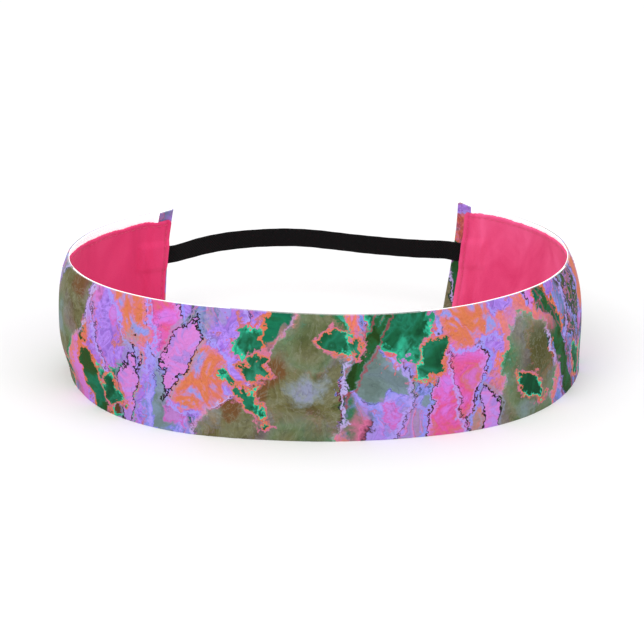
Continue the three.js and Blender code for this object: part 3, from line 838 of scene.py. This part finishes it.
def build_cover():
    path = cover_path()
    a = np.gradient(path[:, 0])
    b = np.gradient(path[:, 1])
    l = np.hypot(a, b)
    ns, nd = -b / l, a / l
    r = 0.22
    z = np.concatenate([np.linspace(r, 2.2, 5)[:-1], np.linspace(2.2, BAND_W - 2.2, 58),
                        np.linspace(BAND_W - 2.2, BAND_W - r, 5)[1:]])
    # the printed face is on the side that turns outwards along the main run
    ring = section(z, 1.0, r)
    zz = np.array([q[0] for q in ring])
    off = np.array([q[1] for q in ring])
    kind = np.array([q[2] for q in ring])
    half = COVER_T / 2
    s = path[:, 0][:, None] - ns[:, None] * off[None, :] * half
    d = path[:, 1][:, None] - nd[:, None] * off[None, :] * half
    v = np.broadcast_to(zz[None, :] / BAND_W, s.shape)
    P = in_band(s, d, v)
    n, k = s.shape
    quads = tube_faces(n, k)
    jj = np.tile(np.arange(k), n - 1)
    kn = kind[(jj + 1) % k]
    k0 = kind[jj]
    fmat = np.where((k0 == 0) & (kn == 0), 0, 1)
    # the print wraps the first sliver of the upper and lower rims
    ring_i = np.arange(k)
    nz = len(z)
    fmat = np.where((jj == nz - 1) | (jj == nz) | (jj == k - 1) | (jj == k - 2), 0, fmat)
    wings = np.repeat((np.abs(path[:-1, 0]) > 122) | (np.abs(path[:-1, 0]) < 38), k)
    fmat = np.where(wings & ((jj == nz + 1) | (jj == nz + 2)), 0, fmat)
    caps, cmat = [], []
    for st in (0, n - 1):
        base = st * k
        col = np.arange(nz)
        back = base + nz + 6 + (nz - 1 - col)
        front = base + col
        caps.append(np.stack([front[:-1], front[1:], back[1:], back[:-1]], -1)[:, ::(1 if st else -1)])
        cmat += [1] * (nz - 1)
    rim_caps = []
    for st in (0, n - 1):
        base = st * k
        top = [base + nz - 1 + i for i in range(8)]
        low = [base + nz + 6 + nz - 1 + i for i in range(7)] + [base]
        for poly in (top, low):
            rim_caps.append(poly if st == 0 else poly[::-1])
    faces = [quads] + caps + [np.array(rim_caps)]
    vol_faces = flip_if_inward(P.reshape(-1, 3), [quads])
    flipped = not np.array_equal(vol_faces[0], quads)
    if flipped:
        faces = [np.asarray(f)[:, ::-1] for f in faces]
    run_len = np.broadcast_to(path[:, 2][:, None], s.shape)
    attrs = {"cloth": np.stack([run_len, v * BAND_W, np.broadcast_to(off[None, :] * half, s.shape)], -1).reshape(-1, 3)}
    f = print_fields(run_len.ravel(), (v * BAND_W).ravel())
    attrs.update(f)
    fm = np.concatenate([fmat, np.array(cmat), np.ones(len(rim_caps))])
    return make_mesh("cover_ribbon", P.reshape(-1, 3), faces, [PRINT, REVERSE], fm, attrs)


# ---------- lining ----------
MARGIN, END_MARGIN = 2.7, 4.0
SEAM_INSET, END_SEAM_INSET = 1.8, 2.2
STITCH = 3.1  # stitch pitch


def margin(s):
    inside = np.minimum(s - S_L, S_R - s)
    return END_MARGIN + (MARGIN - END_MARGIN) * smooth(inside / 14)


def lining_base(s, z):
    """Depth of what the lining lies on: the cover, then the hem, then the elastic's end."""
    inside = np.minimum(s - S_L, S_R - s)
    zc = np.where(s < 0, ELASTIC_Z_L, ELASTIC_Z_R)
    hem = 1.3 * smooth((12.5 - inside) / 4.5)
    tab = 1.05 * smooth((16.0 - inside) / 3.2) * smooth((7.6 - np.abs(z - zc)) / 3.5)
    return COVER_T + 0.03 + hem + tab


def top_shift(s):
    """How far the lining's upper edge strays from its margin, in mm."""
    return np.interp(s, [-212, -204, -190, -160, -130, -110, -90, 100, 116, 126, 138, 152, 175, 220],
                     [-0.1, -0.7, -1.1, -1.1, -1.0, -0.7, 0.0, 0.0, -1.2, -1.8, -1.2, 0.3, 0.7, 0.7])


def lining_edges(s):
    jag = waves(s, 0.0, 5, [(0.10, 3.1, 1e6), (0.14, 7.7, 1e6), (0.16, 16.0, 1e6), (0.07, 1.9, 1e6)])
    jag2 = waves(s, 0.0, 6, [(0.10, 3.3, 1e6), (0.14, 8.3, 1e6), (0.14, 19.0, 1e6), (0.07, 1.7, 1e6)])
    lo = margin(s) + jag
    hi = BAND_W - margin(s) + jag2 + top_shift(s)
    return lo, hi


def seam_row(s, lower):
    lo, hi = margin(s), BAND_W - margin(s) + top_shift(s)
    return lo + SEAM_INSET if lower else hi - SEAM_INSET


def lining_relief(s, z):
    """Returns how far the velvet stands off what is under it, and how much painted shade darkens the seam lines pressed
    into it.
    """
    puff = 0.22 + waves(s, z, 21, [(0.10, 26, 44), (0.08, 14, 33), (0.05, 8, 21)])
    wing = smooth((s - 135) / 40)
    # soft slanting wrinkles in the right wing, fainter ones in the left
    for s0, lean, amp, width in ((176, 0.10, 0.55, 4.5), (188, -0.16, 0.42, 4.0), (163, 0.22, 0.50, 5.5),
                                 (201, 0.05, 0.34, 3.2), (150, -0.1, 0.34, 6.0)):
        q = (s - s0 - lean * (z - 25)) / width
        puff = puff + wing * amp * np.exp(-q * q) * (0.6 + 0.4 * np.sin(z / 9.0 + s0))
    wing_l = smooth((-135 - s) / 40)
    for s0, lean, amp, width in ((-170, 0.12, 0.20, 6.0), (-190, -0.2, 0.18, 5.0), (-152, 0.1, 0.16, 7.0)):
        q = (s - s0 - lean * (z - 25)) / width
        puff = puff + wing_l * amp * np.exp(-q * q) * (0.6 + 0.4 * np.sin(z / 8.0 + s0))
    # the second value is painted shade: a darker colour laid into the seam grooves
    seam_shade = np.zeros(np.broadcast(s, z).shape)
    for lower in (True, False):
        row = seam_row(s, lower)
        groove = np.exp(-((z - row) / 0.55) ** 2)
        pull = 0.65 + 0.35 * np.cos(2 * math.pi * s / STITCH)
        puff = puff - 0.15 * groove * pull
        seam_shade = np.maximum(seam_shade, groove * 0.22)
    for s0, deep in ((S_L + SETBACK_L + END_SEAM_INSET, 1.0), (S_R - SETBACK_R - END_SEAM_INSET, 1.0)):
        groove = np.exp(-((s - s0) / 0.60) ** 2) * deep
        pull = 0.7 + 0.3 * np.cos(2 * math.pi * z / STITCH)
        puff = puff - 0.34 * groove * pull
        seam_shade = np.maximum(seam_shade, groove * 0.85)
    return puff, seam_shade


def build_lining():
    s0, s1 = S_L + SETBACK_L, S_R - SETBACK_R
    s = np.concatenate([s0 + np.array([0.0, 0.06, 0.18, 0.35]), np.linspace(s0 + 0.6, s0 + 12, 30),
                        np.linspace(s0 + 12, s1 - 12, 620)[1:-1], np.linspace(s1 - 12, s1 - 0.6, 30),
                        s1 - np.array([0.35, 0.18, 0.06, 0.0])])
    round_end = np.ones(len(s))
    round_end[:4] = (0.25, 0.6, 0.82, 0.95)
    round_end[-4:] = (0.95, 0.82, 0.6, 0.25)
    u = np.concatenate([[0.0, 0.0025, 0.0065, 0.012], np.linspace(0.02, 0.10, 11), np.linspace(0.10, 0.90, 50)[1:-1],
                        np.linspace(0.90, 0.98, 11), [0.988, 0.9935, 0.9975, 1.0]])
    edge = np.ones(len(u))
    edge[:4] = (0.25, 0.6, 0.85, 0.96)
    edge[-4:] = (0.96, 0.85, 0.6, 0.25)
    lo, hi = lining_edges(s)
    # rounded-off corners at the two ends
    for end, sign in ((s0, 1), (s1, -1)):
        k = np.clip(1 - sign * (s - end) / 1.6, 0, 1)
        lo = lo + 1.3 * k ** 2
        hi = hi - 1.3 * k ** 2
    # the left end is cut a little askew, shorter at the bottom
    S = s[:, None] + 0.8 * smooth((S_L + 16 - s) / 14)[:, None] * (1 - u)[None, :]
    Z = lo[:, None] + (hi - lo)[:, None] * u[None, :]
    base = lining_base(S, Z)
    puff, seam_shade = lining_relief(S, Z)
    t = (0.80 + puff) * edge[None, :] * round_end[:, None]
    t = np.maximum(t, 0.12)
    outer = in_band(S, base + t, Z / BAND_W)
    inner = in_band(S, base, Z / BAND_W)
    n, m = S.shape
    ring = np.concatenate([outer, inner[:, ::-1]], axis=1)
    k = 2 * m
    quads = tube_faces(n, k)
    caps = []
    for st in (0, n - 1):
        b = st * k
        col = np.arange(m)
        q = np.stack([b + col[:-1], b + col[1:], b + k - 1 - col[1:], b + k - 1 - col[:-1]], -1)
        caps.append(q[:, ::-1] if st == 0 else q)
    P = ring.reshape(-1, 3)
    faces = [quads] + caps
    if not np.array_equal(flip_if_inward(P, [quads])[0], quads):
        faces = [f[:, ::-1] for f in faces]
    cl = np.stack([S, Z, t], -1)
    cloth = np.concatenate([cl, cl[:, ::-1]], axis=1).reshape(-1, 3)
    cr = np.concatenate([seam_shade, seam_shade[:, ::-1]], axis=1).ravel()
    return make_mesh("velvet_lining", P, faces, [VELVET], None, {"cloth": cloth, "seam_shade": cr})


# ---------- elastic ----------
def catmull(points, us):
    """Centripetal Catmull-Rom, as the CAD source's curve."""
    p = np.array(points)
    n = len(p)
    out = []
    for u in us:
        q = (n - 1) * u
        i = min(int(math.floor(q)), n - 2)
        w = q - i
        p1, p2 = p[i], p[i + 1]
        p0 = p[i - 1] if i > 0 else 2 * p[0] - p[1]
        p3 = p[i + 2] if i + 2 < n else 2 * p[-1] - p[-2]
        d0 = max(np.linalg.norm(p0 - p1) ** 0.5, 1e-4)
        d1 = max(np.linalg.norm(p1 - p2) ** 0.5, 1e-4)
        d2 = max(np.linalg.norm(p2 - p3) ** 0.5, 1e-4)
        t1 = ((p1 - p0) / d0 - (p2 - p0) / (d0 + d1) + (p2 - p1) / d1) * d1
        t2 = ((p2 - p1) / d1 - (p3 - p1) / (d1 + d2) + (p3 - p2) / d2) * d1
        out.append(p1 + t1 * w + (-3 * p1 + 3 * p2 - 2 * t1 - t2) * w * w + (2 * p1 - 2 * p2 + t1 + t2) * w ** 3)
    return np.array(out)


def build_elastic():
    def at(k, right, z, side):
        # the tab lies on the hem, and slopes down to the ribbon beyond it
        depth = TAB_D - 0.25 - 1.30 * float(smooth((k - 5.0) / 7.0))
        return in_band(S_R - k if right else S_L + k, depth, (z + side * ELASTIC_W / 2) / BAND_W)

    edges = [[], []]
    for k in (TAB_L, 9, 6, 3, 0):
        for e, side in enumerate((-1, 1)):
            edges[e].append(at(k, False, ELASTIC_Z_L, side))
    for e in (0, 1):
        d = edges[e][-1] - edges[e][-2]
        edges[e].append(edges[e][-1] + d / np.linalg.norm(d) * 2.5)
    bow = [(-50.5, 69.3), (-42, 74.6), (-33, 78.0), (-24, 80.0), (-14, 80.8), (-5, 79.6), (5, 76.6),
           (16, 73.0), (28, 69.9), (39, 67.7)]
    for x, y in bow:
        z = ELASTIC_Z_L + (x + 64) / 120 * (ELASTIC_Z_R - ELASTIC_Z_L)
        for e, side in enumerate((-1, 1)):
            edges[e].append(np.array([x + SHIFT_X, y + SHIFT_Y, z + side * ELASTIC_W / 2]))
    tail = [[at(k, True, ELASTIC_Z_R, side) for side in (-1, 1)] for k in (0, 3, 6, 9, TAB_L)]
    for e in (0, 1):
        d = tail[0][e] - tail[1][e]
        edges[e].append(tail[0][e] + d / np.linalg.norm(d) * 2.5)
        edges[e] += [t[e] for t in tail]
    n = 520
    us = np.linspace(0, 1, n)
    A, B = catmull(edges[0], us), catmull(edges[1], us)
    mid = (A + B) / 2
    tan = np.gradient(mid, axis=0)
    tan /= np.linalg.norm(tan, axis=1)[:, None]
    across = B - A
    across /= np.linalg.norm(across, axis=1)[:, None]
    nor = np.cross(tan, across)
    nor /= np.linalg.norm(nor, axis=1)[:, None]
    along = np.concatenate([[0], np.cumsum(np.linalg.norm(np.diff(mid, axis=0), axis=1))])
    ribs = 13
    m = ribs * 6 + 1
    w = np.linspace(-1, 1, m)
    rib = 0.5 + 0.5 * np.cos(2 * math.pi * (w + 1) / 2 * ribs + math.pi)
    half = ELASTIC_T / 2
    shape = np.sqrt(np.clip(1 - np.abs(w) ** 14, 0, 1))
    t = (half - 0.10 + 0.10 * rib)[None, :] * shape[None, :] * (1 + 0.05 * np.sin(2 * math.pi * along / 1.1))[:, None]
    t = np.maximum(t, 0.04)
    wide = ELASTIC_W / 2 * (1 + 0.006 * np.sin(along / 3.1) + 0.008 * np.sin(along / 1.3 + 1.0))
    face = mid[:, None, :] + across[:, None, :] * (w[None, :] * wide[:, None])[..., None]
    front = face + nor[:, None, :] * t[..., None]
    back = face - nor[:, None, :] * t[..., None]
    ring = np.concatenate([front, back[:, ::-1]], axis=1)
    k = 2 * m
    quads = tube_faces(n, k)
    caps = []
    for st in (0, n - 1):
        b = st * k
        col = np.arange(m)
        q = np.stack([b + col[:-1], b + col[1:], b + k - 1 - col[1:], b + k - 1 - col[:-1]], -1)
        caps.append(q[:, ::-1] if st == 0 else q)
    P = ring.reshape(-1, 3)
    faces = [quads] + caps
    if not np.array_equal(flip_if_inward(P, [quads])[0], quads):
        faces = [f[:, ::-1] for f in faces]
    al = np.broadcast_to(along[:, None], (n, m))
    ac = np.broadcast_to((w * ELASTIC_W / 2)[None, :], (n, m))
    cl = np.stack([al, ac, t], -1)
    cl2 = np.stack([al, ac, -t], -1)
    cloth = np.concatenate([cl, cl2[:, ::-1]], axis=1).reshape(-1, 3)
    return make_mesh("braided_elastic", P, faces, [BRAID], None, {"cloth": cloth})


# ---------- stitches ----------
def stitches(name, centres, ends, mat, radius_mm=0.14, with_print=False):
    """Each stitch is a short thread lying on the cloth with both ends dipping into it. centres is a
    function of (stitch, t from -1 to 1, angle) in band coordinates, vectorised over its rows."""
    rows, ringn = 9, 8
    tt = np.sin(np.linspace(-math.pi / 2, math.pi / 2, rows))
    an = np.arange(ringn) / ringn * 2 * math.pi
    K = len(ends)
    P = np.zeros((K, rows, ringn, 3))
    cl = np.zeros((K, rows, ringn, 3))
    sz = np.zeros((K, rows, ringn, 2))
    for i, (s_a, z_a, s_b, z_b) in enumerate(ends):
        s = (s_a + s_b) / 2 + (s_b - s_a) / 2 * tt
        z = (z_a + z_b) / 2 + (z_b - z_a) / 2 * tt
        l = math.hypot(s_b - s_a, z_b - z_a)
        rr = radius_mm * np.sqrt(np.clip(1.02 - np.abs(tt) ** 4, 0.02, 1))
        sink = 0.30 * np.abs(tt) ** 3
        off_a = rr[:, None] * np.cos(an)[None, :]
        off_d = rr[:, None] * np.sin(an)[None, :]
        us, uz = -(z_b - z_a) / l, (s_b - s_a) / l
        S = s[:, None] + us * off_a
        Z = z[:, None] + uz * off_a
        D = centres(s, z)[:, None] + np.sign(centres.side) * (-sink[:, None]) + off_d
        P[i] = in_band(S, D, Z / BAND_W)
        cl[i, ..., 0] = (i * 5.0 + tt * l / 2)[:, None]
        cl[i, ..., 1] = an[None, :]
        sz[i, ..., 0], sz[i, ..., 1] = S, Z
    base = (np.arange(K) * rows * ringn)[:, None, None]
    q = tube_faces(rows, ringn)[None]
    quads = (base + q).reshape(-1, 4)
    capA = (base[:, :, 0] + np.arange(ringn)[None, ::-1])
    capB = (base[:, :, 0] + (rows - 1) * ringn + np.arange(ringn)[None, :])
    V = P.reshape(-1, 3)
    faces = [quads, capA, capB]
    if not np.array_equal(flip_if_inward(V, [quads])[0], quads):
        faces = [f[:, ::-1] for f in faces]
    attrs = {"cloth": cl.reshape(-1, 3)}
    if with_print:
        flat = sz.reshape(-1, 2)
        attrs = {"cloth": np.column_stack([flat, np.zeros(len(flat))])}
        attrs.update(print_fields(flat[:, 0], flat[:, 1]))
    return make_mesh(name, V, faces, [mat], None, attrs)


class OnLining:
    side = 1

    def __call__(self, s, z):
        puff, _ = lining_relief(s, z)
        return lining_base(s, z) + 0.80 + puff + 0.10


class OnCover:
    side = -1

    def __call__(self, s, z):
        return np.full(np.broadcast(s, z).shape, -0.05)


SEAM_A, SEAM_B = S_L + SETBACK_L + 1.2, S_R - SETBACK_R - 1.2


def long_row(lower, phase=0.0):
    out = []
    k = math.ceil((SEAM_A + 0.2) / STITCH)
    s = k * STITCH + phase
    while s + STITCH * 0.86 < SEAM_B:
        a, b = s, s + STITCH * 0.86
        out.append((a, float(seam_row(a, lower)), b, float(seam_row(b, lower))))
        s += STITCH
    return out


def end_row(s0):
    out = []
    z0 = float(seam_row(s0, True)) + 1.4
    z1 = float(seam_row(s0, False)) - 1.4
    n = int((z1 - z0) / STITCH)
    p = (z1 - z0) / n
    for i in range(n):
        out.append((s0, z0 + i * p, s0, z0 + (i + 0.86) * p))
    return out


cover = build_cover()
lining = build_lining()
elastic = build_elastic()
on_lining, on_cover = OnLining(), OnCover()
top_in = stitches("top_seam_needle_thread", on_lining, long_row(False), PINK_THREAD)
low_in = stitches("bottom_seam_needle_thread", on_lining, long_row(True), PINK_THREAD)
top_out = stitches("top_seam_bobbin_thread", on_cover, long_row(False), PRINT, 0.13, True)
low_out = stitches("bottom_seam_bobbin_thread", on_cover, long_row(True), PRINT, 0.13, True)
E_L, E_R = S_L + SETBACK_L + END_SEAM_INSET, S_R - SETBACK_R - END_SEAM_INSET
end_l_in = stitches("end_seam_needle_thread_l", on_lining, end_row(E_L), PINK_THREAD)
end_r_in = stitches("end_seam_needle_thread_r", on_lining, end_row(E_R), PINK_THREAD)
end_l_out = stitches("end_seam_bobbin_thread_l", on_cover, end_row(E_L), PRINT, 0.13, True)
end_r_out = stitches("end_seam_bobbin_thread_r", on_cover, end_row(E_R), PRINT, 0.13, True)

# ---------- bodies ----------
for ob, nodes, slot in (
    (cover, ("cover_left", "cover_right"), "printed_ribbon"),
    (lining, ("lining_left", "lining_right"), "velvet"),
    (elastic, ("elastic_strap",), "elastic"),
    (top_in, ("top_seam_needle_thread_left", "top_seam_needle_thread_right"), "needle_thread"),
    (low_in, ("bottom_seam_needle_thread_left", "bottom_seam_needle_thread_right"), "needle_thread"),
    (top_out, ("top_seam_bobbin_thread_left", "top_seam_bobbin_thread_right"), "bobbin_thread"),
    (low_out, ("bottom_seam_bobbin_thread_left", "bottom_seam_bobbin_thread_right"), "bobbin_thread"),
):
    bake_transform(ob)
    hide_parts(*nodes)
for ob, node, body, slot in (
    (end_l_in, "end_seam_needle_thread_left", "left_half", "needle_thread"),
    (end_r_in, "end_seam_needle_thread_right", "right_half", "needle_thread"),
    (end_l_out, "end_seam_bobbin_thread_left", "left_half", "bobbin_thread"),
    (end_r_out, "end_seam_bobbin_thread_right", "right_half", "bobbin_thread"),
):
    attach(ob, body)
    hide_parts(node)

# ---------- surroundings ----------
bpy.ops.mesh.primitive_plane_add(size=6.0, location=(0, 0, 0))
floor = bpy.context.object
floor.name = "floor"
g = Nodes("floor")
g.set(Base_Color=(0.9, 0.9, 0.9, 1.0), Roughness=0.9, Specular_IOR_Level=0.0)
floor.data.materials.append(g.mat)

world = bpy.data.worlds.new("world")
bpy.context.scene.world = world
world.use_nodes = True
bg = world.node_tree.nodes["Background"]
bg.inputs[0].default_value = (1.0, 1.0, 1.0, 1.0)
bg.inputs[1].default_value = 0.98


def area(name, loc, aim, size, power):
    light = bpy.data.lights.new(name, "AREA")
    light.shape = "DISK"
    light.size = size
    light.energy = power
    ob = bpy.data.objects.new(name, light)
    bpy.context.scene.collection.objects.link(ob)
    ob.location = loc
    ob.rotation_euler = (Vector(aim) - Vector(loc)).to_track_quat("-Z", "Y").to_euler()
    return ob


area("key", (-1.0, -1.6, 1.7), (0, 0, 0.02), 1.6, 20.0)
area("fill", (1.5, -1.2, 1.2), (0, 0, 0.02), 1.6, 7.0)
